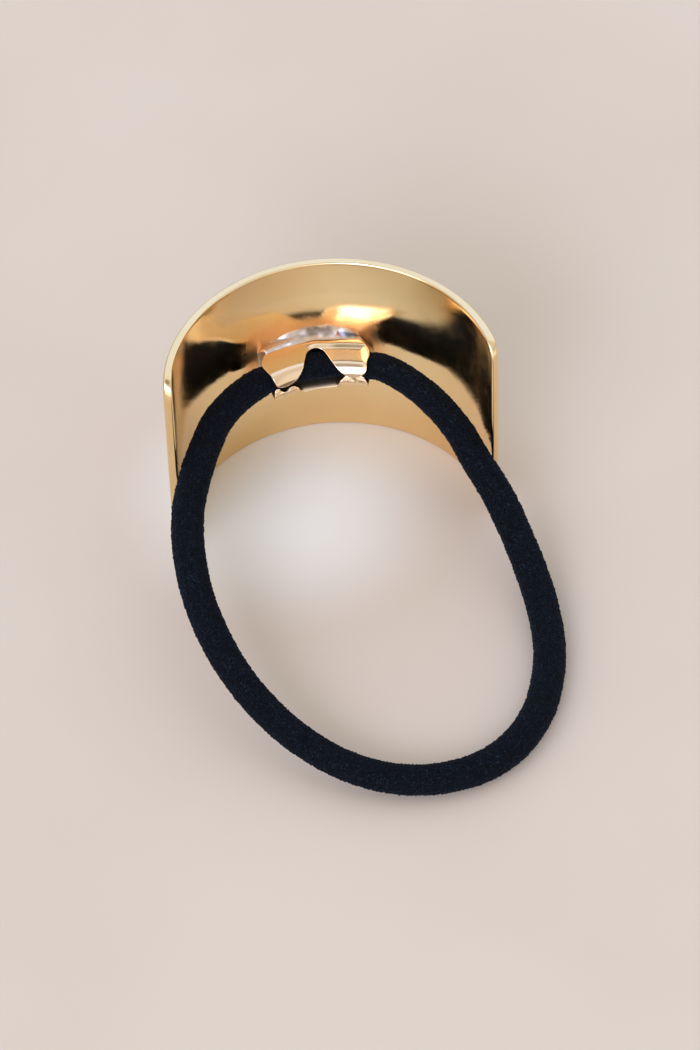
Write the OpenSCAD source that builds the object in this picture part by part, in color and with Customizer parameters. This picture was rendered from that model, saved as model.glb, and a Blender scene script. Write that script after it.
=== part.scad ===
// Ponytail cuff: a curved metal plate that stands on its rim, with a folded sheet clamp
// soldered inside its middle and a loop of covered elastic held in the clamp.
// Millimetres. X runs across the plate, Y from its open front to its back, Z up.
// The origin is under the middle of the metal's own box, on the surface it stands on.

/* [Plate] */
// Outer radius of the plate's curve
plate_r = 22.5; // [19:0.5:30]
// Height of the plate
plate_h = 31.5; // [22:0.5:45]
// Thickness of the plate
plate_wall = 1.1; // [0.8:0.1:2]
// Angle that the plate covers round its axis
plate_arc = 170; // [120:1:200]
// Radius of the plate's four corners
corner_r = 3; // [0.6:0.1:4]
// Rounding along the plate's two rims
rim_round = 0.3; // [0.1:0.05:0.35]

/* [Clamp] */
// Length of the clamp along the elastic
clamp_w = 13.8; // [12:0.1:18]
// Thickness of the clamp's sheet
sheet = 0.45; // [0.3:0.05:0.6]
// Lean of the clamp along its length, in degrees
clamp_lean = 2.5; // [0:0.5:5]
// Outer radius of the fold over the front of the elastic
fold_r = 1.5; // [0.8:0.1:2]
// Radius of the bell notch between the two lobes
notch_r = 1.9; // [1.2:0.05:2.1]
// Radius of the flare from the notch into each lobe's tip
lobe_r = 2.7; // [2:0.05:2.9]
// Radius of the outer corner of each lobe's tip
tip_r = 0.8; // [0.3:0.05:1.2]
// Slit between the lobes and the ears
slit = 0.25; // [0.1:0.05:0.5]
// Height of the slit below the clamp's middle
slit_drop = 0.35; // [0:0.05:0.8]
// Width of the gap between the two ears, at their feet
ear_gap = 4.8; // [3:0.1:6]
// Slant of the ears' sides, across, from foot to top
ear_slant = 1.2; // [0.3:0.1:1.6]

/* [Solder] */
// Thickness of the solder between clamp and plate
solder_t = 0.8; // [0.3:0.05:1.5]
// Height of the fillet above the clamp, at its middle
solder_rise = 2; // [0.5:0.1:3]

/* [Elastic] */
// Diameter of the covered elastic
elastic_d = 4.2; // [3:0.1:5]
// Depth that the elastic is squeezed to in the clamp
squeezed_deep = 3.95; // [2.8:0.05:4.8]
// Height that the elastic is squeezed to in the clamp
squeezed_tall = 3.6; // [2.6:0.05:4.6]
// Gap between the elastic and the clamp's sheet
elastic_gap = 0.1; // [0.05:0.01:0.2]

/* [Hidden] */
round_fn = 64;
past = 1; // how far a cutter runs past what it cuts

plate_in = plate_r - plate_wall;
half_arc = plate_arc / 2;
// The plate's axis, set so that the origin is under the middle of the metal's box
front_y = min(plate_in * cos(half_arc), plate_r * cos(half_arc));
axis_y = -(plate_r + front_y) / 2;

// The channel in the clamp, and the clamp's section round it, from the plate's axis
channel_deep = squeezed_deep + 2 * elastic_gap;
channel_tall = squeezed_tall + 2 * elastic_gap;
clamp_back = plate_in - solder_t;
clamp_front = clamp_back - channel_deep - 2 * sheet;
clamp_tall = channel_tall + 2 * sheet;
seat_r = (clamp_back + clamp_front) / 2;
clamp_z = plate_h / 2;
back_round = 0.6;
foot_round = 0.7;
slit_z = -slit_drop;
channel_floor = -channel_tall / 2;
lobe_x = notch_r + lobe_r;
tip_flat = 0.3;
flank_rise = 1;
arc_steps = 8;
// The lobes and the notch are cut square to a plane that leans back by this angle
view_lean = 45;
// Level of the lobes' centres on that plane, so that their tips end at the slit
lobe_level = lobe_r - (seat_r - sqrt(pow(clamp_front, 2) - pow(lobe_x, 2)) - slit_z) / sqrt(2);

// The elastic's free loop: x, y and the lift of its underside off the surface, from the
// clamp's right end round the front to its left end
LOOP = [
    [10.55, 2.3, 13.4], [13.05, -0.2, 12.8], [15.4, -2.95, 11.6], [17.5, -6.4, 10.2],
    [19.1, -10.6, 8.7], [21.4, -15.6, 6.2], [23, -20.6, 3.8], [24.2, -26, 1.8],
    [24.8, -31.8, 0.6], [24.6, -37.8, 0.1], [23.4, -43.4, 0.05], [21.1, -49, 0.05],
    [17.2, -53.9, 0.05], [12.1, -56.9, 0.05], [6.2, -57.8, 0.15], [0.4, -57, 0.5],
    [-5, -54.6, 1.2], [-9.8, -50.9, 2.2], [-13.8, -46.4, 3.5], [-17, -41.2, 4.9],
    [-19.4, -35.4, 6.5], [-20.9, -29, 8.1], [-21.3, -22.6, 9.5], [-20.7, -16.4, 10.7],
    [-19.1, -11, 11.6], [-17, -6, 12.3], [-14.6, -1.6, 12.8], [-11.6, 1.6, 13.1]
];
// Where the two ends butt inside the clamp, in degrees to the right of its middle
butt_a = 13;
butt_gap_a = 0.4;
// Steps round the clamp for the elastic's path, in degrees
seat_right = [butt_a, 18, 23, 28];
seat_left = [-28, -23, -16, -9, -2, 5, butt_a - butt_gap_a];
grip_a = 25; // the elastic is squeezed up to this angle either side
elastic_sides = 10;
elastic_steps = 2;

function seat_point(a) =
    let (x = seat_r * sin(a))
    [x * cos(clamp_lean), axis_y + seat_r * cos(a), clamp_z + x * sin(clamp_lean),
        abs(a) < grip_a ? 1 : 0];
function free_point(p) = [p[0], p[1], p[2] + elastic_d / 2, 0];
route = concat(
    [for (a = seat_right) seat_point(a)],
    [for (p = LOOP) free_point(p)],
    [for (a = seat_left) seat_point(a)]
);

// A smooth curve through the route; the fourth number is how far the elastic is squeezed
function spline(p0, p1, p2, p3, t) =
    0.5 * (2 * p1 + (p2 - p0) * t + (2 * p0 - 5 * p1 + 4 * p2 - p3) * t * t
        + (3 * p1 - p0 - 3 * p2 + p3) * t * t * t);
function at(i) = route[max(0, min(len(route) - 1, i))];
path = [
    for (i = [0 : len(route) - 2], s = [0 : elastic_steps - 1])
        spline(at(i - 1), at(i), at(i + 1), at(i + 2), s / elastic_steps),
    route[len(route) - 1]
];
function flat3(p) = [p[0], p[1], p[2]];
function unit(v) = v / norm(v);
function heading(i) =
    unit(flat3(path[min(len(path) - 1, i + 1)]) - flat3(path[max(0, i - 1)]));
function ring(i) =
    let (
        along = heading(i),
        side = unit(cross([0, 0, 1], along)),
        up = cross(along, side),
        held = max(0, min(1, path[i][3])),
        deep = elastic_d + (squeezed_deep - elastic_d) * held,
        tall = elastic_d + (squeezed_tall - elastic_d) * held
    )
    [for (k = [0 : elastic_sides - 1])
        let (a = 360 * (k + 0.5) / elastic_sides)
        flat3(path[i]) + side * cos(a) * deep / 2 + up * sin(a) * tall / 2];

// A rectangle with its four corners rounded, each by its own radius
module rounded(x, y, r_low_left, r_low_right, r_high_left, r_high_right) {
    corners = [
        [0, 0, r_low_left, 1, 1], [x, 0, r_low_right, -1, 1],
        [0, y, r_high_left, 1, -1], [x, y, r_high_right, -1, -1]
    ];
    difference() {
        square([x, y]);
        for (c = corners)
            translate([c[0], c[1]]) scale([c[3], c[4]]) difference() {
                translate([-past, -past]) square(c[2] + past);
                translate([c[2], c[2]]) circle(r = c[2], $fn = round_fn);
            }
    }
}

module plate() {
    difference() {
        rotate([0, 0, 90 - half_arc]) rotate_extrude(angle = plate_arc, $fn = round_fn)
            translate([plate_in, 0])
                rounded(plate_wall, plate_h, rim_round, rim_round, rim_round, rim_round);
        for (end = [-1, 1], top = [0, 1]) plate_corner(end, top);
    }
}

// What is taken off one corner of the plate, square to the plate there
module plate_corner(end, top) {
    rotate([0, 0, -end * half_arc])
        translate([0, 0, top * plate_h]) mirror([0, 0, top]) mirror([end < 0 ? 1 : 0, 0, 0])
            translate([0, plate_in - past, 0]) difference() {
                translate([-corner_r, 0, -past])
                    cube([corner_r + past, plate_wall + 2 * past, corner_r + past]);
                translate([-corner_r, -past, corner_r]) rotate([-90, 0, 0])
                    cylinder(r = corner_r, h = plate_wall + 4 * past, $fn = round_fn);
            }
}

// The folded sheet: a closed section swept round the plate's axis and cut to length
module clamp_sleeve() {
    intersection() {
        rotate_extrude($fn = round_fn) difference() {
            translate([clamp_front, -clamp_tall / 2])
                rounded(clamp_back - clamp_front, clamp_tall, foot_round, back_round, fold_r, back_round);
            translate([clamp_front + sheet, channel_floor])
                rounded(channel_deep, channel_tall, foot_round - sheet, back_round - sheet,
                    fold_r - sheet, back_round - sheet);
        }
        translate([-clamp_w / 2, 0, -clamp_tall]) cube([clamp_w, plate_r, 2 * clamp_tall]);
    }
}

// Half of the upper flap's edge, from the top of the bell notch out past the clamp's side
function sweep(x, y, r, from, to) =
    [for (i = [0 : arc_steps]) let (a = from + (to - from) * i / arc_steps) [x + r * cos(a), y + r * sin(a)]];
flap_edge = concat(
    sweep(0, lobe_level, notch_r, 90, 0),
    sweep(lobe_x, lobe_level, lobe_r, 180, 270),
    sweep(lobe_x + tip_flat, lobe_level - lobe_r + tip_r, tip_r, 270, 335),
    [[clamp_w / 2 + sheet, lobe_level + flank_rise], [clamp_w, lobe_level + flank_rise]]
);
function mirrored(points) = [for (i = [len(points) - 1 : -1 : 1]) [-points[i][0], points[i][1]]];

// What is cut from the upper flap: the bell notch, and what lies beyond the lobes' tips
module upper_cut() {
    low = lobe_level - clamp_tall;
    intersection() {
        translate([0, seat_r, 0]) rotate([view_lean, 0, 0]) linear_extrude(clamp_tall)
            polygon(concat(mirrored(flap_edge), flap_edge, [[clamp_w, low], [-clamp_w, low]]));
        translate([-clamp_w, 0, slit_z]) cube([2 * clamp_w, plate_r, clamp_tall]);
    }
}

// What is cut from the lower flap: the slit, the gap between the ears and their slants
module lower_cut() {
    ear_top = slit_z - slit;
    reach = clamp_front + sheet + channel_deep / 4;
    half_gap = ear_gap / 2;
    translate([-clamp_w, 0, ear_top]) cube([2 * clamp_w, reach, slit]);
    translate([0, reach, 0]) rotate([90, 0, 0]) linear_extrude(reach) {
        polygon([
            [-half_gap, channel_floor], [half_gap, channel_floor],
            [half_gap + ear_slant, slit_z], [-half_gap - ear_slant, slit_z]
        ]);
        for (side = [-1, 1]) polygon([
            [side * clamp_w / 2, channel_floor], [side * clamp_w, channel_floor],
            [side * clamp_w, slit_z], [side * (clamp_w / 2 - ear_slant), slit_z]
        ]);
    }
}

module clamp() {
    difference() {
        clamp_sleeve();
        upper_cut();
        lower_cut();
    }
}

// The solder: a pad behind the clamp, with a fillet above it that thins out to the sides
module solder() {
    pad_tall = clamp_tall - 2 * back_round;
    fillet_top = clamp_tall / 2 + solder_rise;
    fillet_r = (pow(clamp_w / 2, 2) + pow(solder_rise, 2)) / (2 * solder_rise);
    fillet_deep = solder_t + back_round;
    fillet_slope = solder_rise / fillet_deep;
    deep = fillet_deep + plate_wall / 2;
    intersection() {
        union() {
            translate([-clamp_w / 2, 0, -pad_tall / 2])
                cube([clamp_w, plate_r, pad_tall]);
            translate([0, plate_r, fillet_top - fillet_r]) rotate([90, 0, 0])
                cylinder(r1 = fillet_r + plate_wall * fillet_slope, r2 = fillet_r - solder_rise,
                    h = plate_wall + fillet_deep, $fn = round_fn);
        }
        rotate_extrude($fn = round_fn)
            translate([clamp_back - back_round, -clamp_tall / 2]) square([deep, 2 * clamp_tall]);
        translate([-clamp_w / 2, 0, -clamp_tall]) cube([clamp_w, plate_r, 3 * clamp_tall]);
    }
}

// The metal: plate, clamp and solder in one solid
module cuff() {
    color([0.86, 0.68, 0.36]) translate([0, axis_y, 0]) {
        plate();
        translate([0, 0, clamp_z]) rotate([0, -clamp_lean, 0]) {
            clamp();
            solder();
        }
    }
}

// The elastic: one tube swept along its path, with a flat end cap at each end
module elastic() {
    n = elastic_sides;
    last = len(path) - 1;
    color([0.05, 0.05, 0.08]) polyhedron(
        points = [for (i = [0 : last]) each ring(i)],
        faces = concat(
            [[for (k = [0 : n - 1]) k]],
            [for (i = [0 : last - 1], k = [0 : n - 1])
                let (m = (k + 1) % n)
                [i * n + k, (i + 1) * n + k, (i + 1) * n + m, i * n + m]],
            [[for (k = [n - 1 : -1 : 0]) last * n + k]]
        )
    );
}

cuff();
elastic();
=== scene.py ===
"""Looks for the ponytail cuff: polished gold plate, soldered clamp and knitted elastic, in metres."""

import logging
import math
from dataclasses import dataclass, field
from enum import Enum
from typing import Any, Callable

import bpy
import numpy as np
from mathutils import Matrix, Vector, noise

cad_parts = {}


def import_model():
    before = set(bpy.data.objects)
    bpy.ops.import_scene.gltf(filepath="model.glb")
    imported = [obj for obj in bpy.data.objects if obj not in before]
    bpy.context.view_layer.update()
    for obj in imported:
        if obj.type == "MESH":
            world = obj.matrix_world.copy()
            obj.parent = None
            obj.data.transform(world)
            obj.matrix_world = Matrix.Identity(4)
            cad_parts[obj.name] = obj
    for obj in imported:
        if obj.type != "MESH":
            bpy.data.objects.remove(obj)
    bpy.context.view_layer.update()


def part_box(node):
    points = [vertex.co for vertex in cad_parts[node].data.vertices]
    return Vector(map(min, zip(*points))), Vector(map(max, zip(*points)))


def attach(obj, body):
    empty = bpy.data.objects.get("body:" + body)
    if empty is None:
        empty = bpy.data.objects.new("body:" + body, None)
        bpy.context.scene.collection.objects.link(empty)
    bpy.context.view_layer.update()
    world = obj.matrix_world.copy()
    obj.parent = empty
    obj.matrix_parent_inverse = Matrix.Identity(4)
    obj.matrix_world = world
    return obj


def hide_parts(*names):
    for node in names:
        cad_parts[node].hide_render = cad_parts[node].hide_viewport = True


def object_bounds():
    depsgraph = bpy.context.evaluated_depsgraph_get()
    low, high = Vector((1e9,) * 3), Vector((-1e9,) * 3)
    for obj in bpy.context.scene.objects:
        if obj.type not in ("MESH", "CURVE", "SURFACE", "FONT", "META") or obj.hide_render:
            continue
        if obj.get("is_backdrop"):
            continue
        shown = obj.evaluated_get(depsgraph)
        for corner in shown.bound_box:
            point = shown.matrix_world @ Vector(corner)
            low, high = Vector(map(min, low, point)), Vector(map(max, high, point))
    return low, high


log = logging.getLogger("ponytail_cuff")

# The sub-assemblies hold their sizes in millimetres and degrees, and new_mesh turns them to metres
MM = 0.001
BODY = "root"

Colour = tuple[float, float, float]
Reach = tuple[float, float]
Numbers = np.ndarray | float
Place = Callable[[np.ndarray, np.ndarray, np.ndarray], np.ndarray]


class Slot(Enum):
    """The record's material slots."""

    GOLD = "gold_plate"
    COVER = "elastic_cover"


class Shading(Enum):
    """How a material reads its place: by the object's own coordinates or by its UV map."""

    OBJECT = "Object"
    UV = "UV"


class Graph:
    """The node tree of a material or of the world, with short ways to add nodes and join them."""

    def __init__(self, owner: Any, shader: str = "BsdfPrincipled", output: str = "OutputMaterial") -> None:
        """Starts with a shader that is joined to the output.

        Args:
            owner: The new material or world.
            shader: The shader's type, without its ShaderNode prefix.
            output: The output's type, without it too.
        """
        owner.use_nodes = True
        self.owner = owner
        self.tree = owner.node_tree
        self.tree.nodes.clear()
        self.shader = self.node(shader)
        self.feed(self.node(output).inputs["Surface"], self.shader.outputs[0])

    def node(self, kind: str, settings: dict[str, Any] | None = None, **inputs: Any) -> Any:
        """Adds a node.

        Args:
            kind: The node's type, without its ShaderNode prefix.
            settings: Properties of the node itself.
            inputs: What the fill method takes.

        Returns:
            The new node.
        """
        made = self.tree.nodes.new("ShaderNode" + kind)
        for key, value in (settings or {}).items():
            setattr(made, key, value)
        self.fill(made, **inputs)
        return made

    def fill(self, node: Any, **inputs: Any) -> None:
        """Sets or joins inputs by their names, with underscores for spaces."""
        for key, value in inputs.items():
            self.feed(node.inputs[key.replace("_", " ")], value)

    def feed(self, target: Any, value: Any) -> None:
        """Sets an input socket to a value, or joins a socket to it.

        Args:
            target: The input socket.
            value: A number, a place, a colour or an output socket.
        """
        if isinstance(value, bpy.types.NodeSocket):
            self.tree.links.new(value, target)
        elif target.type == "RGBA":
            target.default_value = (*value, 1.0)
        else:
            target.default_value = value

    def place(self, shading: Shading = Shading.OBJECT) -> Any:
        """The coordinates that the textures follow: the object's own or its UV map's."""
        return self.node("TexCoord").outputs[shading.value]

    def maths(self, operation: str, *values: Any, kind: str = "Math") -> Any:
        """A Math or VectorMath node.

        Args:
            operation: The node's operation.
            values: Its inputs in order, as numbers, places or sockets.
            kind: The node's type.

        Returns:
            The result socket.
        """
        made = self.node(kind, {"operation": operation})
        for socket, value in zip(made.inputs, values):
            self.feed(socket, value)
        return made.outputs["Value"]

    def times(self, *values: Any) -> Any:
        """Multiplies two values, as numbers or sockets."""
        return self.maths("MULTIPLY", *values)

    def plus(self, *values: Any) -> Any:
        """Adds two values, as numbers or sockets."""
        return self.maths("ADD", *values)

    def length(self, *parts: Any) -> Any:
        """The length of a way from its two parts, as sockets."""
        return self.maths("SQRT", self.plus(*(self.maths("POWER", part, 2.0) for part in parts)))

    def noise(self, vector: Any, scale: float, detail: float = 3.0, roughness: float = 0.5) -> Any:
        """A noise texture's factor, with its scale per metre and the strength of its octaves."""
        made = self.node("TexNoise", Vector=vector, Scale=scale, Detail=detail, Roughness=roughness)
        return made.outputs["Fac"]

    def span(self, value: Any, low: float, high: float, to_low: float, to_high: float) -> Any:
        """A smooth Map Range node.

        Args:
            value: What is mapped.
            low: The value that gives to_low.
            high: The value that gives to_high.
            to_low: The result at low.
            to_high: The result at high.

        Returns:
            The result socket.
        """
        made = self.node("MapRange", {"interpolation_type": "SMOOTHSTEP"}, Value=value)
        for key, number in zip(("From Min", "From Max", "To Min", "To Max"), (low, high, to_low, to_high)):
            made.inputs[key].default_value = number
        return made.outputs["Result"]

    def mix(self, share: Any, first: Any, second: Any) -> Any:
        """Mixes two colours.

        Args:
            share: The second colour's share.
            first: The first colour, as a socket or a colour.
            second: The second colour, as a socket or a colour.

        Returns:
            The result socket.
        """
        made = self.node("Mix", {"data_type": "RGBA"}, Factor=share)
        colours = [s for s in made.inputs if s.type == "RGBA"]
        for socket, colour in zip(colours, (first, second)):
            self.feed(socket, colour)
        return next(s for s in made.outputs if s.type == "RGBA")

    def bump(self, *layers: tuple[Any, float]) -> None:
        """Gives the shader a row of Bump nodes.

        Args:
            layers: Pairs of a height socket and its depth in metres.
        """
        before = {}
        for height, depth in layers:
            before = {"Normal": self.node("Bump", Height=height, Distance=depth, **before).outputs["Normal"]}
        self.fill(self.shader, **before)


@dataclass(frozen=True)
class GoldPlating:
    """Polished pale gold plating, with a copper heat stain on the inner face round the soldered clamp."""

    name: str = "gold_plating"
    gold: Colour = (0.90, 0.68, 0.365)
    deep_gold: Colour = (0.88, 0.64, 0.32)
    heat_tint: Colour = (0.90, 0.51, 0.21)
    copper: Colour = (0.90, 0.42, 0.13)
    clamp_level: float = 16.4 * MM
    clamp_across: float = -0.5 * MM
    clamp_half: float = 6.9 * MM
    clamp_half_tall: float = 2.2 * MM
    axis_y: float = -12.18 * MM
    inner_face: float = 21.8 * MM
    outer_face: float = 22.2 * MM
    heat_reach: float = 6.5 * MM
    heat_share: float = 0.6
    heat_haze: float = 0.08
    copper_reach: float = 3.8 * MM
    copper_haze: float = 0.45
    stray: float = 2.4 * MM
    smooth: float = 0.085
    rough: float = 0.15
    wave_depth: float = 0.03 * MM
    dent_depth: float = 0.002 * MM
    grain_depth: float = 0.005 * MM
    dull: float = 0.0
    dull_level: float = 13.75 * MM
    dull_fade: float = 0.4 * MM

    def from_clamp(self, g: Graph, where: Any) -> Any:
        """How far a point of the inner face is from the clamp's outline, with a ragged edge.

        The outer face counts as far away.

        Args:
            g: The material's graph.
            where: The place.

        Returns:
            The distance socket, in metres.
        """
        split = g.node("SeparateXYZ", Vector=where).outputs
        beyond = []
        for axis, middle, half in (("X", self.clamp_across, self.clamp_half),
                                   ("Z", self.clamp_level, self.clamp_half_tall)):
            from_middle = g.maths("ABSOLUTE", g.maths("SUBTRACT", split[axis], middle))
            beyond.append(g.maths("MAXIMUM", g.maths("SUBTRACT", from_middle, half), 0.0))
        ragged = g.maths("SUBTRACT", g.noise(where, 320.0), 0.5)
        away = g.plus(g.length(*beyond), g.times(ragged, self.stray))
        radius = g.length(split["X"], g.maths("SUBTRACT", split["Y"], self.axis_y))
        return g.plus(away, g.span(radius, self.inner_face, self.outer_face, 0.0, 2 * self.heat_reach))

    def material(self) -> bpy.types.Material:
        """Builds the material.

        Returns:
            The material.
        """
        g = Graph(bpy.data.materials.new(self.name))
        where = g.place()
        tint = g.mix(g.span(g.noise(where, 90.0, 2.0), 0.35, 0.68, 0.0, 1.0), self.gold, self.deep_gold)
        away = self.from_clamp(g, where)
        smudge = g.noise(where, 420.0, 4.0, 0.6)
        wear = g.span(smudge, 0.42, 0.72, self.smooth, self.rough)
        for start, end, colour, haze in (
            (0.15 * self.heat_reach, self.heat_reach, self.heat_tint, self.heat_haze),
            (0.3 * self.copper_reach, self.copper_reach, self.copper, self.copper_haze),
        ):
            share = g.span(away, start, end, self.heat_share, 0.0)
            tint = g.mix(share, tint, colour)
            wear = g.plus(wear, g.times(share, haze))
        if self.dull:
            level = g.node("SeparateXYZ", Vector=where).outputs["Z"]
            shiny = self.dull_level + self.dull_fade
            wear = g.plus(wear, g.span(level, self.dull_level, shiny, self.dull, 0.0))
        g.fill(g.shader, Base_Color=tint, Metallic=1.0, Roughness=wear)
        g.bump((g.noise(where, 150.0, 1.0), self.wave_depth),
               (g.noise(where, 1500.0, 2.0), self.dent_depth),
               (g.noise(where, 5200.0, 3.0, 0.65), self.grain_depth))
        return g.owner


@dataclass(frozen=True)
class OxidisedSolder:
    """Grey-violet solder skin: pale at the left, blue-black and rusty at the right, gold at the edges.

    The UV map gives the distance across, in metres, and the share of the way down from the crest.
    """

    name: str = "oxidised_solder"
    skin: Colour = (0.27, 0.20, 0.145)
    violet: Colour = (0.53, 0.41, 0.30)
    tan: Colour = (0.78, 0.56, 0.36)
    pale: Colour = (0.70, 0.60, 0.50)
    blue_black: Colour = (0.13, 0.135, 0.145)
    rust: Colour = (0.20, 0.06, 0.03)
    gold: Colour = (0.88, 0.62, 0.33)
    rust_across: float = 3.3 * MM
    rust_down: float = 0.55
    rust_wide: float = 0.5 * MM
    rust_tall: float = 0.22
    stray_down: float = 0.45
    stray_across: float = 2.5 * MM
    wave_depth: float = 0.09 * MM
    grain_depth: float = 0.012 * MM

    def material(self) -> bpy.types.Material:
        """Builds the material.

        Returns:
            The material.
        """
        g = Graph(bpy.data.materials.new(self.name))
        where = g.place()
        laid = g.node("SeparateXYZ", Vector=g.place(Shading.UV)).outputs
        across = laid["X"]
        drift = g.maths("SUBTRACT", g.noise(where, 700.0, 3.0), 0.5)
        ragged = g.plus(laid["Y"], g.times(drift, self.stray_down))
        strayed = g.plus(across, g.times(drift, self.stray_across))
        patches = g.noise(where, 520.0, 2.0, 0.5)
        low_part = g.times(g.span(ragged, 0.30, 0.46, 0.0, 1.0), g.span(ragged, 0.68, 0.9, 0.95, 0.0))
        spot_across = g.maths("DIVIDE", g.maths("SUBTRACT", strayed, self.rust_across), self.rust_wide)
        spot_down = g.maths("DIVIDE", g.maths("SUBTRACT", ragged, self.rust_down), self.rust_tall)
        away = g.plus(g.maths("POWER", spot_across, 2.0), g.maths("POWER", spot_down, 2.0))
        to_right = g.span(across, -3.0 * MM, -1.0 * MM, 0.0, 1.0)
        to_left = g.maths("SUBTRACT", 1.0, to_right)
        tint = self.skin
        for share, colour in (
            (g.span(patches, 0.40, 0.62, 0.0, 1.0), self.violet),
            (g.times(g.span(strayed, 2.9 * MM, 3.8 * MM, 0.0, 1.0), low_part), self.blue_black),
            (g.span(away, 0.3, 1.4, 0.9, 0.0), self.rust),
            (g.times(g.span(ragged, 0.52, 0.82, 0.0, 0.9), to_right), self.tan),
            (g.times(g.span(ragged, 0.3, 0.6, 0.0, 0.9), to_left), self.pale),
            (g.span(ragged, -0.02, 0.22, 0.95, 0.0), self.gold),
        ):
            tint = g.mix(share, tint, colour)
        g.fill(g.shader, Base_Color=tint, Metallic=1.0, Roughness=g.span(patches, 0.35, 0.65, 0.42, 0.3))
        g.bump((g.noise(where, 620.0, 2.0), self.wave_depth),
               (g.noise(where, 2600.0, 2.0), self.grain_depth))
        return g.owner


@dataclass(frozen=True)
class KnittedCover:
    """Blue-black knitted cover: matte yarn with a weak sheen, fine stitches with painted shade in the gaps
    between them and painted light on their middles, and pale flecks.
    """

    name: str = "knitted_cover"
    # Painted shade and painted light: the colours of the gaps between stitches and of the stitches' middles
    shade: Colour = (0.0012, 0.0014, 0.0020)
    lit: Colour = (0.0036, 0.0052, 0.0080)
    fibre: Colour = (0.022, 0.034, 0.050)
    sheen_tint: Colour = (0.45, 0.65, 0.90)
    stitch_wide: float = 0.30 * MM
    stitch_long: float = 0.42 * MM
    stitch_depth: float = 0.10 * MM
    fibre_depth: float = 0.03 * MM
    shine: float = 0.09
    sheen: float = 0.035

    def material(self) -> bpy.types.Material:
        """Builds the material.

        Returns:
            The material.
        """
        g = Graph(bpy.data.materials.new(self.name))
        where = g.place()
        scale = (1 / self.stitch_wide, 1 / self.stitch_long, 1.0)
        knit = g.node("Mapping", Vector=g.place(Shading.UV), Scale=scale).outputs["Vector"]
        stitch = g.node("TexVoronoi", {"feature": "F1"}, Vector=knit, Scale=1.0, Randomness=0.55)
        gap = stitch.outputs["Distance"]
        # Painted shade: each stitch is lighter in its middle and darker in the gaps between stitches
        tint = g.mix(g.span(gap, 0.15, 0.6, 1.0, 0.0), self.shade, self.lit)
        flecks = g.noise(where, 4600.0, 2.0, 0.6)
        worn = g.span(g.noise(where, 900.0, 2.0), 0.35, 0.65, 0.2, 1.0)
        tint = g.mix(g.times(worn, g.span(flecks, 0.56, 0.70, 0.0, 0.7)), tint, self.fibre)
        g.fill(g.shader, Base_Color=tint, Roughness=g.span(flecks, 0.3, 0.7, 0.95, 0.75),
               Specular_IOR_Level=self.shine, Sheen_Weight=self.sheen, Sheen_Roughness=0.45,
               Sheen_Tint=self.sheen_tint)
        g.bump((g.maths("SUBTRACT", 1.0, gap), self.stitch_depth),
               (g.noise(where, 6500.0, 3.0, 0.7), self.fibre_depth))
        return g.owner


@dataclass(frozen=True)
class PaleStone:
    """The plain pale floor, whiter in one soft patch inside the cuff: partly the stone's own pale spot,
    partly painted light where the gold wall throws light down onto the floor.
    """

    name: str = "pale_floor"
    pale: Colour = (0.655, 0.525, 0.37)
    warm: Colour = (0.635, 0.50, 0.35)
    stone_spot_and_painted_glow: Colour = (0.88, 0.82, 0.66)
    spot_and_glow_centre: tuple[float, float, float] = (-6.0 * MM, -4.0 * MM, 0.0)
    spot_and_glow_inner: float = 3.0 * MM
    spot_and_glow_outer: float = 26.0 * MM

    def material(self) -> bpy.types.Material:
        """Builds the material.

        Returns:
            The material.
        """
        g = Graph(bpy.data.materials.new(self.name))
        where = g.place()
        tint = g.mix(g.span(g.noise(where, 14.0, 3.0), 0.35, 0.65, 0.0, 1.0), self.pale, self.warm)
        # Painted light: the floor is whiter round one spot inside the cuff, partly the stone's own pale
        # spot, partly standing in for light thrown down off the gold wall
        away = g.maths("DISTANCE", where, self.spot_and_glow_centre, kind="VectorMath")
        stone_spot_and_painted_glow = g.span(away, self.spot_and_glow_inner, self.spot_and_glow_outer, 1.0, 0.0)
        g.fill(g.shader, Base_Color=g.mix(stone_spot_and_painted_glow, tint, self.stone_spot_and_painted_glow), Roughness=0.62, Specular_IOR_Level=0.3)
        return g.owner


def new_mesh(name: str, points: np.ndarray, faces: list[tuple[int, ...]]) -> bpy.types.Object:
    """Makes a smooth-shaded mesh object.

    Args:
        name: The object's name.
        points: Its points in millimetres, one row each.
        faces: Its faces.

    Returns:
        The object, in metres.
    """
    mesh = bpy.data.meshes.new(name)
    mesh.from_pydata((points * MM).tolist(), [], faces)
    mesh.polygons.foreach_set("use_smooth", [True] * len(mesh.polygons))
    mesh.update()
    made = bpy.data.objects.new(name, mesh)
    bpy.context.scene.collection.objects.link(made)
    return made


def tube(name: str, rings: list[np.ndarray], places: list[np.ndarray], turned: bool) -> bpy.types.Object:
    """Makes a tube with flat ends and a UV map.

    Args:
        name: The object's name.
        rings: The points of each ring in millimetres, one row each.
        places: The texture coordinates of each ring's points.
        turned: True turns every face over.

    Returns:
        The object.
    """
    number = np.arange(len(rings) * len(rings[0])).reshape(len(rings), -1)
    ends = (number[0], number[-1, ::-1]) if turned else (number[0, ::-1], number[-1])
    faces = [tuple(end.tolist()) for end in ends]
    made = new_mesh(name, np.concatenate(rings), faces + band_faces(number, closed=True, turned=turned))
    corners = np.empty(len(made.data.loops), dtype=np.int32)
    made.data.loops.foreach_get("vertex_index", corners)
    layer = made.data.uv_layers.new(name="UVMap")
    layer.data.foreach_set("uv", np.concatenate(places)[corners].ravel().astype(np.float32))
    return made


def dress(piece: bpy.types.Object, material: bpy.types.Material, slot: Slot) -> None:
    """Gives a piece its material and the body that it rides on.

    Args:
        piece: The object.
        material: Its material.
        slot: The record's slot; not used.
    """
    piece.data.materials.append(material)
    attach(piece, BODY)
    log.info("%s: %d faces", piece.name, len(piece.data.polygons))


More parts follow.
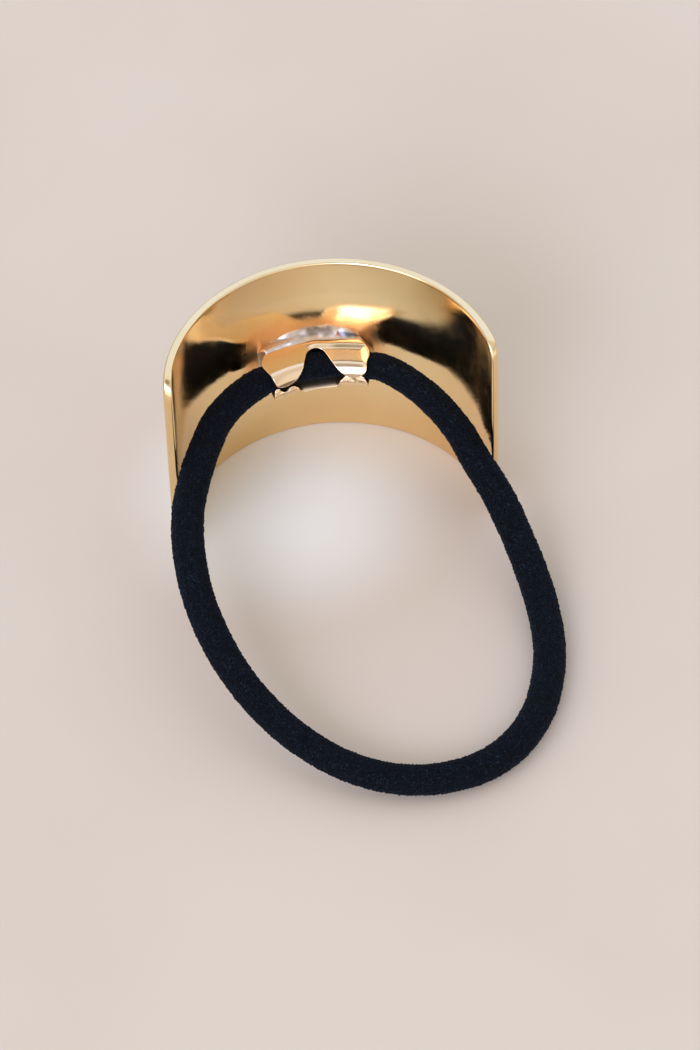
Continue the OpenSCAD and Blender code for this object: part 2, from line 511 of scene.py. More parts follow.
def band_faces(rows: np.ndarray, closed: bool, turned: bool) -> list[tuple[int, ...]]:
    """Quads between neighbouring rows of points.

    Args:
        rows: The rows of point numbers.
        closed: True for rings, where the last point is joined to the first.
        turned: True turns every quad over.

    Returns:
        The faces.
    """
    ahead = np.roll(rows, -1, axis=1)
    quads = np.stack([rows[:-1], ahead[:-1], ahead[1:], rows[1:]], axis=-1)
    quads = quads[:, :None if closed else -1, ::-1 if turned else 1]
    return [tuple(q) for q in quads.reshape(-1, 4).tolist()]


@dataclass(frozen=True)
class Sheet:
    """Sheet metal from a flat pattern: two skins and a rim whose edges are rounded."""

    thickness: float
    rounding: float
    arc_steps: int = 4

    def build(self, name: str, pattern: np.ndarray, place: Place) -> bpy.types.Object:
        """Builds the sheet.

        Args:
            name: The object's name.
            pattern: Rows of flat points, counter-clockwise as rows go up and columns go right.
            place: Turns flat points and heights into points in millimetres.

        Returns:
            The object.
        """
        flat = pattern.reshape(-1, 2)
        count, half = len(flat), self.thickness / 2
        number = np.arange(count).reshape(pattern.shape[:2])
        ring = np.concatenate([number[0, :-1], number[:-1, -1], number[-1, :0:-1], number[:0:-1, 0]])
        edge = flat[ring]
        along = np.roll(edge, -1, axis=0) - np.roll(edge, 1, axis=0)
        outward = np.stack([along[:, 1], -along[:, 0]], axis=1)
        outward /= np.linalg.norm(outward, axis=1, keepdims=True)
        parts = [place(*flat.T, np.full(count, level)) for level in (half, -half)]
        faces = band_faces(number, closed=False, turned=False)
        faces += band_faces(number + count, closed=False, turned=True)
        turns = np.linspace(0, np.pi / 2, self.arc_steps + 1)[1:]
        upper = [(self.rounding * math.sin(t), half - self.rounding * (1 - math.cos(t))) for t in turns]
        rings = [ring]
        for step, (out, height) in enumerate(upper + [(out, -height) for out, height in reversed(upper)]):
            parts.append(place(*(edge + outward * out).T, np.full(len(ring), height)))
            rings.append(2 * count + step * len(ring) + np.arange(len(ring)))
        rings.append(ring + count)
        faces += band_faces(np.array(rings), closed=True, turned=True)
        return new_mesh(name, np.concatenate(parts), faces)


def uneven(x: Numbers, y: Numbers, z: Numbers) -> np.ndarray:
    """Gentle unevenness from -1 to 1, whose waves are about 1 long.

    Args:
        x: Where it is read.
        y: The same, along the second way.
        z: The same, along the third way.

    Returns:
        One height for each place.
    """
    return np.array([noise.noise(Vector(place)) for place in np.broadcast(x, y, z)])


def smooth_step(value: Numbers, low: float, high: float) -> Numbers:
    """A smooth rise from 0 at low to 1 at high.

    Args:
        value: What is mapped.
        low: Where the rise starts.
        high: Where it ends.

    Returns:
        The risen values.
    """
    t = np.clip((value - low) / (high - low), 0.0, 1.0)
    return t * t * (3 - 2 * t)


def curve_through(points: np.ndarray, count: int) -> np.ndarray:
    """Evenly spaced points along a smooth curve through the given ones.

    Args:
        points: The points that it goes through.
        count: How many points to make.

    Returns:
        The points, one row each.
    """
    steps = 16
    ends = np.concatenate([points[:1], points, points[-1:]])
    t = np.arange(steps)[:, None] / steps
    dense = [
        0.5 * (2 * p1 + (p2 - p0) * t + (2 * p0 - 5 * p1 + 4 * p2 - p3) * t**2
               + (3 * p1 - p0 - 3 * p2 + p3) * t**3)
        for p0, p1, p2, p3 in zip(ends, ends[1:], ends[2:], ends[3:])
    ]
    return evenly(np.concatenate([*dense, points[-1:]]), count)


def run_along(points: np.ndarray) -> np.ndarray:
    """How far along a line of straight stretches each of its points is.

    Args:
        points: The line's points, whose first columns are their places.

    Returns:
        The distances from the first point.
    """
    return np.concatenate([[0.0], np.cumsum(np.linalg.norm(np.diff(points[:, :3], axis=0), axis=1))])


def evenly(points: np.ndarray, count: int) -> np.ndarray:
    """Points at even distances along a line of straight stretches.

    Args:
        points: The line's points.
        count: How many points to make.

    Returns:
        The points, one row each.
    """
    run = run_along(points)
    at = np.linspace(0, run[-1], count)
    return np.stack([np.interp(at, run, column) for column in points.T], axis=1)


@dataclass
class Plate:
    """The curved plate that stands on its rim, with rounded corners and softened edges."""

    radius: float = 22.5
    height: float = 31.5
    wall: float = 1.1
    arc: float = 170.0
    corner: float = 3.0
    rounding: float = 0.3
    slant: float = 20.0
    slant_long: float = 2.0
    top_y: float = 10.3174
    across_steps: int = 200
    up_steps: int = 84
    corner_steps: int = 10
    wave: float = 0.02
    wave_pitch: float = 11.0
    wave_seed: float = 1.7
    dip: float = 0.16
    dip_low: Reach = (-12.0, 0.0)
    dip_high: Reach = (4.0, 10.0)
    dip_half: Reach = (9.5, 13.5)
    swell: float = 0.42
    swell_across: float = -10.2
    swell_level: float = 0.4
    swell_wide: float = 2.9
    swell_tall: float = 3.4
    ease: float = 0.28
    ease_long: float = 4.5
    full: float = 0.14
    full_long: float = 14.0
    finish: GoldPlating = field(default_factory=GoldPlating)

    @property
    def axis_y(self) -> float:
        """Where the plate's axis stands, along Y."""
        return self.top_y - self.radius

    @property
    def inner(self) -> float:
        """The inner radius."""
        return self.radius - self.wall

    @property
    def middle(self) -> float:
        """The radius of the wall's middle."""
        return self.radius - self.wall / 2

    @property
    def half_arc(self) -> float:
        """Half the wall's length, round its middle."""
        return self.middle * math.radians(self.arc) / 2

    def pattern(self) -> np.ndarray:
        """The flat plate, without the rim's rounding.

        Returns:
            Rows of flat points: distance along the arc, and height.
        """
        half = self.half_arc - self.rounding
        low, high = self.rounding, self.height - self.rounding
        corner, n = self.corner - self.rounding, self.corner_steps
        across, up = (
            np.concatenate([np.linspace(start, start + corner, n, endpoint=False),
                            np.linspace(start + corner, end - corner, steps, endpoint=False),
                            np.linspace(end - corner, end, n + 1)])
            for start, end, steps in ((-half, half, self.across_steps), (low, high, self.up_steps))
        )
        a, b = np.meshgrid(across, up)
        for sx, sy in ((1, 1), (1, -1), (-1, 1), (-1, -1)):
            x, y = (half - corner) * sx, high - corner if sy > 0 else low + corner
            u, v = (a - x) * sx, (b - y) * sy
            inside = (u > 0) & (v > 0)
            pull = np.where(inside, np.maximum(u, v) / np.hypot(np.maximum(u, 1e-9), v), 1.0)
            a = np.where(inside, x + u * pull * sx, a)
            b = np.where(inside, y + v * pull * sy, b)
        return np.stack([a, b], axis=-1)

    def warp(self, a: np.ndarray, b: np.ndarray) -> np.ndarray:
        """How far the inner face is from a true round, for the wall was formed by hand and soldered.

        It is fuller towards both ends, eased out at the right one, dipped behind the clamp and swollen
        to the clamp's left.

        Args:
            a: Distances along the arc.
            b: Heights.

        Returns:
            Distances outwards.
        """
        level = b - self.height / 2
        low, high = self.dip_high
        dipped = (np.clip((high - level) / (high - low), 0, 1) * smooth_step(level, *self.dip_low)
                  * (1 - smooth_step(np.abs(a), *self.dip_half)))
        across = (a - self.swell_across) / self.swell_wide
        away = np.hypot(across, (level - self.swell_level) / self.swell_tall)
        eased = np.clip(1 - (self.half_arc - a) / self.ease_long, 0, 1) ** 2
        right_full = 1 - smooth_step(self.half_arc - a, self.ease_long, self.full_long)
        left_full = 1 - smooth_step(self.half_arc + a, 0.0, self.ease_long)
        return (self.dip * dipped + self.ease * eased - self.full * (right_full + left_full)
                - self.swell * (1 - smooth_step(away, 0.0, 1.0)))

    def place(self, a: np.ndarray, b: np.ndarray, h: np.ndarray) -> np.ndarray:
        """Bends flat points round the plate's axis.

        Args:
            a: Distances along the arc.
            b: Heights.
            h: Distances outwards from the wall's middle.

        Returns:
            Points in millimetres.
        """
        slant = math.tan(math.radians(self.slant))
        cut = slant * smooth_step(np.abs(a), self.half_arc - self.slant_long, self.half_arc)
        turn = (a - np.sign(a) * cut * h) / self.middle
        inward = np.clip(0.5 - h / self.wall, 0, 1)
        waves = self.wave * uneven(a / self.wave_pitch, b / self.wave_pitch, self.wave_seed)
        r = self.middle + h + waves + self.warp(a, b) * inward
        return np.stack([r * np.sin(turn), self.axis_y + r * np.cos(turn), b], axis=1)

    def build(self) -> bpy.types.Object:
        """Builds and dresses the plate.

        Returns:
            The plate.
        """
        made = Sheet(self.wall, self.rounding).build("plate", self.pattern(), self.place)
        dress(made, self.finish.material(), Slot.GOLD)
        return made


@dataclass
class Clamp:
    """The folded sheet that holds the elastic: two lobes with a bell notch above, two ears below."""

    plate: Plate
    sheet: float = 0.34
    rounding: float = 0.09
    lean: float = 2.5
    back: float = 20.6
    front: float = 15.55
    tall: float = 4.7
    half: float = 6.9
    neck: float = 5.9
    # Where the pattern's bands meet, as path lengths: the ears' shoulder, the neck's ends
    shoulder_at: float = -4.2
    neck_low_at: float = -2.4
    neck_high_at: float = 1.5
    droop: float = 0.58
    droop_less: float = 0.2
    droop_across: Reach = (-2.5, 3.0)
    droop_starts: Reach = (1.0, 2.4)
    droop_eases: Reach = (3.0, 7.5)
    lip: float = 0.28
    lip_side_share: float = 0.7
    mar: float = 0.035
    mar_pitch: float = 0.55
    mar_seed: float = 7.7
    mar_reach: Reach = (6.6, 7.0)
    # The flat tongue between the ears, from this path length on
    flat_from: float = 5.8
    flat_long: float = 0.95
    flat_drop: float = 0.2
    flat_turn: float = 0.4
    flat_left: Reach = (-3.1, -2.3)
    flat_right: Reach = (1.9, 2.7)
    columns: int = 132
    rows: int = 60
    bend_steps: int = 8
    section_points: int = 1200
    finish: GoldPlating = field(default_factory=lambda: GoldPlating(
        name="clamp_gold", gold=(0.90, 0.74, 0.50), deep_gold=(0.88, 0.70, 0.45), heat_share=0.15,
        heat_haze=0.0, copper_haze=0.0, smooth=0.10, rough=0.2, wave_depth=0.12 * MM,
        dent_depth=0.010 * MM, grain_depth=0.002 * MM, dull=0.25))

    # The section's middle line from behind, over the top to the lobes' tips: depth from the
    # plate's axis, level from the clamp's middle, and the bend's radius there
    UPPER = [(20.43, 0.0, 0.0), (20.43, 2.2, 0.45), (16.3, 1.78, 1.6), (15.55, 0.8, 0.8), (15.2, -0.55, 0.0)]
    # The same from behind, underneath and up the front to the ears' tops
    LOWER = [(20.43, 0.0, 0.0), (20.43, -2.18, 0.45), (15.5, -2.18, 0.5), (15.85, -1.3, 0.8),
             (16.2, -0.5, 0.0)]
    # The lobes' edge: across, and path length round the section
    LOBES = [(-6.7, 5.5), (-6.3, 6.4), (-6.0, 7.25), (-5.6, 7.65), (-5.0, 7.9), (-4.2, 7.85), (-3.2, 7.4),
             (-2.3, 6.4), (-1.8, 5.1), (-1.4, 4.0), (-0.8, 3.4), (0.15, 3.2), (1.0, 3.55), (1.5, 4.5),
             (2.0, 5.75), (2.6, 6.7), (3.4, 7.5), (4.3, 7.8), (5.1, 7.6), (5.8, 7.15), (6.2, 6.6),
             (6.4, 5.6)]
    # The upper sheet's sides from the fold to where the lobes begin
    LEFT_SIDE = [(-6.8, 2.2), (-7.3, 2.8), (-7.5, 3.6), (-7.2, 4.5), (-6.7, 5.5)]
    RIGHT_SIDE = [(6.0, 2.2), (6.75, 2.75), (7.0, 3.5), (6.95, 4.4), (6.4, 5.6)]
    # The ears' edge: across, and path length round the section from behind
    EARS = [(-6.5, 6.2), (-6.45, 6.8), (-6.3, 7.9), (-6.1, 8.15), (-5.8, 8.05), (-5.5, 7.5), (-5.1, 7.2),
            (-4.6, 7.25), (-4.1, 7.65), (-3.7, 7.6), (-3.3, 7.3), (-2.6, 6.75),
            (2.2, 6.75), (2.9, 7.3), (3.5, 7.85), (5.5, 8.1), (5.85, 7.8), (6.3, 6.8), (6.4, 6.2)]

    @property
    def level(self) -> float:
        """The height of the clamp's middle."""
        return self.plate.height / 2

    @property
    def seat(self) -> float:
        """The elastic's distance from the plate's axis."""
        return (self.back + self.front) / 2

    def section(self, corners: list[tuple[float, float, float]]) -> np.ndarray:
        """A line of straight stretches with its corners bent round.

        Args:
            corners: Depth, level and bend radius of each corner.

        Returns:
            Rows of depth, level and path length, finely spaced.
        """
        line = [np.array(corners[0][:2])]
        for before, corner, after in zip(corners, corners[1:], corners[2:]):
            p = np.array(corner[:2])
            u = np.array(before[:2]) - p
            v = np.array(after[:2]) - p
            u /= np.linalg.norm(u)
            v /= np.linalg.norm(v)
            half_turn = math.acos(float(np.clip(u @ v, -1, 1))) / 2
            reach = corner[2] / math.tan(half_turn)
            centre = p + (u + v) / np.linalg.norm(u + v) * corner[2] / math.sin(half_turn)
            start, end = p + u * reach - centre, p + v * reach - centre
            sweep = math.pi - 2 * half_turn
            for t in np.linspace(0, 1, self.bend_steps + 1):
                arm = start * math.sin((1 - t) * sweep) + end * math.sin(t * sweep)
                line.append(centre + arm / math.sin(sweep))
        points = np.array([*line, corners[-1][:2]])
        run = np.linspace(0, run_along(points)[-1], self.section_points)
        return np.column_stack([evenly(points, self.section_points), run])

    def section_at(self, b: np.ndarray) -> tuple[np.ndarray, ...]:
        """The section's point and outward direction at signed path lengths.

        Args:
            b: Path lengths from the middle of the back, positive over the top.

        Returns:
            Depths, levels, and the outward direction's depth and level shares.
        """
        result = [np.zeros_like(b) for _ in range(4)]
        for line, sign in ((self.section(self.UPPER), 1), (self.section(self.LOWER), -1)):
            chosen = b >= 0 if sign > 0 else b < 0
            at = np.abs(b)[chosen]
            depth, level, run = line.T
            slope_d, slope_l = np.gradient(depth, run), np.gradient(level, run)
            over = np.maximum(at - run[-1], 0)
            tangent_d, tangent_l = np.interp(at, run, slope_d), np.interp(at, run, slope_l)
            result[0][chosen] = np.interp(at, run, depth) + tangent_d * over
            result[1][chosen] = np.interp(at, run, level) + tangent_l * over
            long = np.hypot(tangent_d, tangent_l)
            result[2][chosen] = sign * tangent_l / long
            result[3][chosen] = -sign * tangent_d / long
        return tuple(result)

    @staticmethod
    def patch(low: np.ndarray, high: np.ndarray, left: np.ndarray, right: np.ndarray) -> np.ndarray:
        """Rows of points that fill the space between four edges.

        Args:
            low: The lower edge, from left to right.
            high: The upper edge, from left to right.
            left: The left edge, from the lower one up.
            right: The right edge, from the lower one up.

        Returns:
            The rows, from the lower edge to the upper one.
        """
        u = np.linspace(0, 1, len(low))[:, None]
        rows = []
        for t, start, end in zip(np.linspace(0, 1, len(left)), left, right):
            straight_left = low[0] * (1 - t) + high[0] * t
            straight_right = low[-1] * (1 - t) + high[-1] * t
            row = low * (1 - t) + high * t
            rows.append(row + (1 - u) * (start - straight_left) + u * (end - straight_right))
        return np.array(rows)

    def pattern(self) -> np.ndarray:
        """The flat sheet, from the ears' edge to the lobes' edge.

        Returns:
            Rows of flat points: distance across, and path length.
        """
        even = np.linspace(-1, 1, self.columns)
        ears = evenly(np.array(self.EARS), self.columns) * (1, -1)
        shoulder, neck_low, neck_high = (
            np.stack([even * half, np.full_like(even, at)], axis=1)
            for half, at in ((self.half, self.shoulder_at), (self.neck, self.neck_low_at),
                             (self.neck, self.neck_high_at))
        )
        left = curve_through(np.array(self.LEFT_SIDE), self.rows)
        right = curve_through(np.array(self.RIGHT_SIDE), self.rows)
        share = (even[:, None] + 1) / 2
        fold = left[0] * (1 - share) + right[0] * share
        lobes = curve_through(np.array(self.LOBES), self.columns)
        rows = []
        bands = ((ears, shoulder, self.rows), (shoulder, neck_low, 12), (neck_low, neck_high, 20),
                 (neck_high, fold, 12))
        for start, end, count in bands:
            rows += [start + (end - start) * t for t in np.linspace(0, 1, count, endpoint=False)]
        rows += list(self.patch(fold, lobes, left, right))
        return np.array(rows)

    def droop_at(self, a: Numbers, b: Numbers = 2.5) -> Numbers:
        """How far the upper sheet sinks at places across and along, by default just past the fold."""
        return (self.droop * smooth_step(a, *self.droop_across) * smooth_step(b, *self.droop_starts)
                * (1 - self.droop_less * smooth_step(b, *self.droop_eases)))

    def lip_at(self, a: np.ndarray, b: np.ndarray) -> np.ndarray:
        """The raised lip along the upper sheet's fold and down its right side.

        Args:
            a: Distances across.
            b: Path lengths round the section.

        Returns:
            Distances outwards.
        """
        back = (1 - smooth_step(b, 2.6, 3.6)) * smooth_step(b, 1.6, 2.3) * smooth_step(a, -2.0, 0.3)
        side = smooth_step(a, 5.9, 6.9) * smooth_step(b, 1.8, 2.4) * (1 - smooth_step(b, 5.4, 7.0))
        return self.lip * np.maximum(back, self.lip_side_share * side)

    def leaned(self, across: Numbers, level: Numbers) -> tuple[Numbers, Numbers]:
        """Leans places in the clamp with it, from across and level to the frame's x and z."""
        c, s = math.cos(math.radians(self.lean)), math.sin(math.radians(self.lean))
        return across * c - level * s, self.level + across * s + level * c

    def place(self, a: np.ndarray, b: np.ndarray, h: np.ndarray) -> np.ndarray:
        """Folds flat points round the elastic and leans them with the clamp.

        Args:
            a: Distances across.
            b: Path lengths round the section.
            h: Distances outwards from the sheet's middle.

        Returns:
            Points in millimetres.
        """
        depth, level, out_d, out_l = self.section_at(b)
        flat_d, flat_l = self.section_at(np.full(1, -self.flat_from))[:2]
        inside = smooth_step(a, *self.flat_left) * (1 - smooth_step(a, *self.flat_right))
        between = inside * (b < -self.flat_from)
        past = np.maximum(-b - self.flat_from, 0) / self.flat_long
        depth = depth * (1 - between) + (flat_d + b + self.flat_from) * between
        level = level * (1 - between) + (flat_l - self.flat_drop * past**2) * between
        out_d = out_d * (1 - between) + np.sin(self.flat_turn * past) * between
        out_l = out_l * (1 - between) - np.cos(self.flat_turn * past) * between
        marred = self.mar * smooth_step(-b, *self.mar_reach) * (1 - between)
        marks = uneven(a / self.mar_pitch, b / self.mar_pitch, self.mar_seed)
        h = h + self.lip_at(a, b) + marred * marks
        depth = depth + out_d * h
        level = level + out_l * h - self.droop_at(a, b)
        y = self.plate.axis_y + np.sqrt(np.maximum(depth**2 - a**2, 0))
        x, z = self.leaned(a, level)
        return np.stack([x, y, z], axis=1)

    def build(self) -> bpy.types.Object:
        """Builds and dresses the clamp.

        Returns:
            The clamp.
        """
        made = Sheet(self.sheet, self.rounding).build("clamp", self.pattern(), self.place)
        dress(made, self.finish.material(), Slot.GOLD)
        return made


@dataclass
class Solder:
    """The solder between clamp and plate: a smooth fillet that rises up the wall behind the clamp."""

    clamp: Clamp
    drop: float = 0.7
    half: float = 8.3
    bite: float = 0.25
    bead: float = 0.2
    bead_reach: Reach = (-3.2, -0.8)
    foot: float = 20.15
    foot_gap: float = 0.06
    waist: float = 0.12
    waist_rise: float = 0.35
    taper: float = 1.6
    taper_power: float = 1.6
    end_margin: float = 0.05
    lumps: float = 0.07
    lumps_pitch: float = 1.25
    along_steps: int = 140
    upper_steps: int = 12
    lower_steps: int = 6
    finish: OxidisedSolder = field(default_factory=OxidisedSolder)

    # The fillet's crest on the wall: across, and level from the clamp's middle
    CREST = [(-8.5, 0.6), (-7.7, 1.6), (-7.0, 2.2), (-5.7, 2.7), (-3.1, 3.7), (-0.9, 4.2), (1.3, 4.05),
             (3.9, 3.3), (6.1, 1.9), (7.0, 0.8), (7.7, -0.4), (8.5, -1.6)]

    def ring(self, x: float, crest: float) -> np.ndarray:
        """The solder's section at one place along the clamp.

        Args:
            x: The distance across from the clamp's middle.
            crest: The crest's level there.

        Returns:
            Rows of depth and level, round the section.
        """
        inner, top = self.clamp.plate.inner, self.clamp.tall / 2
        wall = inner + self.bite
        end = min(max((self.half + self.end_margin - abs(x)) / self.taper, 0.0), 1.0) ** self.taper_power
        foot = wall + (self.foot - wall) * end
        foot_level = min(top - self.foot_gap - self.clamp.droop_at(x), crest)
        waist = wall + (inner - self.waist - wall) * end
        upper = self.sweep((wall, crest), (waist, foot_level + self.waist_rise), (foot, foot_level),
                           self.upper_steps)
        rise = np.sin(np.linspace(-0.9 * np.pi, np.pi, self.upper_steps + 1)).clip(0)
        swell = self.bead * end * (1 - smooth_step(x, *self.bead_reach))
        upper += np.outer(swell * rise, (-1, 1))
        lower = self.sweep((wall - 0.9 * end, -top + 0.3), (wall - 0.5 * end, -top - 0.1),
                           (wall, -top - self.drop * end), self.lower_steps)
        return np.concatenate([upper, lower])

    @staticmethod
    def sweep(p: Reach, q: Reach, r: Reach, steps: int) -> np.ndarray:
        """A curve from p to r that leans towards q, one point a row."""
        t = np.linspace(0, 1, steps + 1)[:, None]
        return (1 - t) ** 2 * np.array(p) + 2 * t * (1 - t) * np.array(q) + t * t * np.array(r)

    def build(self) -> bpy.types.Object:
        """Builds and dresses the solder, slightly uneven.

        Returns:
            The solder.
        """
        clamp = self.clamp
        crest = curve_through(np.array(self.CREST), 400)
        count = self.upper_steps + self.lower_steps + 2
        down = np.minimum(np.arange(count) / self.upper_steps, 1.0)
        rings, places = [], []
        for x in np.linspace(-self.half, self.half, self.along_steps):
            depth, level = self.ring(x, np.interp(x, *crest.T)).T
            lumps = self.lumps * uneven(*(way / self.lumps_pitch for way in (x, depth, level)))
            y = clamp.plate.axis_y + np.sqrt((depth - lumps) ** 2 - x**2)
            across, up = clamp.leaned(x, level)
            rings.append(np.stack([across, y, up + lumps * math.cos(math.radians(clamp.lean))], axis=1))
            places.append(np.stack([np.full(count, x * MM), down], axis=1))
        made = tube("solder", rings, places, turned=False)
        dress(made, self.finish.material(), Slot.GOLD)
        return made


@dataclass
class Elastic:
    """The covered elastic: one loop of knitted tube, whose ends butt inside the clamp."""

    clamp: Clamp
    thick: float = 4.3
    squeezed_deep: float = 3.95
    squeezed_tall: float = 3.66
    seat_low: float = 0.11
    bulge: float = 0.3
    notch_across: float = 0.2
    notch_wide: float = 2.0
    butt: float = 13.0
    butt_gap: float = 0.4
    grip: float = 25.0
    # Where it leaves the clamp on the right: degrees, level from the clamp's middle, and height
    leaving: tuple[tuple[float, float, float], ...] = ((23.0, -0.48, 3.55), (28.0, -0.4, 3.9))
    rings: int = 1180
    sides: int = 80
    wales: int = 24
    course: float = 0.52
    stitch_depth: float = 0.16
    stitch_slant: float = 0.9
    ridge_share: float = 0.55
    fuzz: float = 0.13
    fuzz_pitch: float = 0.45
    finish: KnittedCover = field(default_factory=KnittedCover)

    # Degrees round the plate's axis where the path is set, inside the clamp and just beside it
    RIGHT_ANGLES = (18, 23, 28)
    LEFT_ANGLES = (-28, -23, -16, -9, -2, 5)

    # The free loop: x, y and the lift of its underside, from the clamp's right end round the
    # front to its left end, as in the frame
    LOOP = [
        (10.55, 2.3, 13.4), (13.05, -0.2, 12.8), (15.4, -2.95, 11.6), (17.5, -6.4, 10.2),
        (19.1, -10.6, 8.7), (21.4, -15.6, 6.2), (23, -20.6, 3.8), (24.2, -26, 1.8),
        (24.8, -31.8, 0.6), (24.6, -37.8, 0.1), (23.4, -43.4, 0.05), (21.1, -49, 0.05),
        (17.2, -53.9, 0.05), (12.1, -56.9, 0.05), (6.2, -57.8, 0.15), (0.4, -57, 0.5),
        (-5, -54.6, 1.2), (-9.8, -50.9, 2.2), (-13.8, -46.4, 3.5), (-17, -41.2, 4.9),
        (-19.4, -35.4, 6.5), (-20.9, -29, 8.1), (-21.3, -22.6, 9.5), (-20.7, -16.4, 10.7),
        (-19.1, -11, 11.6), (-17, -6, 12.3), (-14.6, -1.6, 12.8), (-11.6, 1.6, 13.1),
    ]
    # How thick the elastic is at each point of the loop: it has filled out away from the clamp
    # and is drawn thinner round the bend in front
    THICK = [
        3.95, 4.0, 4.1, 4.15, 4.25, 4.45, 4.45, 4.5, 4.5, 4.45, 4.45, 4.4, 4.4, 4.3,
        4.2, 4.15, 4.1, 4.15, 4.2, 4.25, 4.35, 4.4, 4.45, 4.5, 4.45, 4.4, 4.3, 4.2,
    ]

    def seat_point(self, angle: float) -> tuple[float, float, float, float, float]:
        """A point of the path inside the clamp, whose upper sheet sinks to the right.

        Args:
            angle: Degrees round the plate's axis from the clamp's middle, to the right.

        Returns:
            Its place, and how deep and tall the elastic is there.
        """
        clamp = self.clamp
        x = clamp.seat * math.sin(math.radians(angle))
        sunk = clamp.droop_at(x)
        level, deep, tall = -self.seat_low - sunk / 2, self.squeezed_deep, self.squeezed_tall - sunk
        if angle < -self.grip:
            level, deep, tall = 0.0, self.THICK[-1], self.THICK[-1]
        for at, lower, height in self.leaving:
            if angle == at:
                level, tall = lower, height
        across, up = clamp.leaned(x, level)
        y = clamp.plate.axis_y + clamp.seat * math.cos(math.radians(angle))
        return across, y, up, deep, tall

    def path(self) -> np.ndarray:
        """The elastic's middle line.

        Returns:
            Rows of x, y, z, and how deep and tall the elastic is there.
        """
        right = [self.seat_point(a) for a in (self.butt, *self.RIGHT_ANGLES)]
        free = [(x, y, lift + thick / 2, thick, thick) for (x, y, lift), thick in zip(self.LOOP, self.THICK)]
        left = [self.seat_point(a) for a in (*self.LEFT_ANGLES, self.butt - self.butt_gap)]
        return curve_through(np.array(right + free + left), self.rings)

    def stitches(self, around: np.ndarray, along: float) -> np.ndarray:
        """The knit's height at one ring: slanted legs that meet in a V down each wale.

        Args:
            around: Shares of a turn, from 0 to 1.
            along: The distance along the elastic.

        Returns:
            Heights from 0, between stitches, to 1.
        """
        x = np.mod(around * self.wales, 1.0) - 0.5
        leg = np.abs(x)
        ridge = 0.5 + 0.5 * np.cos(2 * np.pi * (along / self.course - self.stitch_slant * leg))
        across = np.cos(np.pi * np.clip((leg - 0.25) / 0.5, -0.5, 0.5))
        return across * (self.ridge_share * ridge + 1 - self.ridge_share)

    def build(self) -> bpy.types.Object:
        """Returns:
            The elastic.
        """
        path = self.path()
        centre = path[:, :3]
        deep, tall = path[:, 3:].T
        along = np.gradient(centre, axis=0)
        along /= np.linalg.norm(along, axis=1, keepdims=True)
        side = np.cross(np.array([0.0, 0.0, 1.0]), along)
        side /= np.linalg.norm(side, axis=1, keepdims=True)
        up = np.cross(along, side)
        from_notch = (centre[:, 0] - self.notch_across) / self.notch_wide
        in_notch = (centre[:, 1] > 0) * np.exp(-from_notch**2)
        run = run_along(centre)
        share = (np.arange(self.sides) + 0.5) / self.sides
        turn = 2 * np.pi * share - np.pi / 2
        fine = self.thick / 2 / self.fuzz_pitch
        rings, places = [], []
        for k in range(self.rings):
            knit = self.stitch_depth * (self.stitches(share, run[k]) - 1.0)
            fuzz = self.fuzz * uneven(np.cos(turn) * fine, np.sin(turn) * fine, run[k] / self.fuzz_pitch)
            reach = 1.0 + (knit + fuzz) / (self.thick / 2)
            swell = in_notch[k] * self.bulge * np.clip(np.cos(turn) * -np.sign(side[k, 1]), 0, 1)
            rings.append(
                centre[k]
                + np.outer(np.cos(turn) * reach * (deep[k] / 2 + swell), side[k])
                + np.outer(np.sin(turn) * reach * tall[k] / 2, up[k])
            )
            places.append(np.stack([share * np.pi * self.thick, np.full(self.sides, run[k])], axis=1) * MM)
        made = tube("elastic_cover", rings, places, turned=True)
        dress(made, self.finish.material(), Slot.COVER)
        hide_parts("elastic")
        log.info("elastic: %.1f mm long", run[-1])
        return made


def towards(azimuth: float, elevation: float) -> Vector:
    """The direction from the object to a place round it.

    Args:
        azimuth: Degrees from the front, positive to the right.
        elevation: Degrees above the floor.

    Returns:
        The direction.
    """
    a, e = math.radians(azimuth), math.radians(elevation)
    return Vector((math.sin(a) * math.cos(e), -math.cos(a) * math.cos(e), math.sin(e)))


@dataclass(frozen=True)
class SkyPatch:
    """A soft-edged patch of the room round the scene, by angles in degrees."""

    azimuth: float
    elevation: float
    inner: float
    outer: float
    colour: Colour


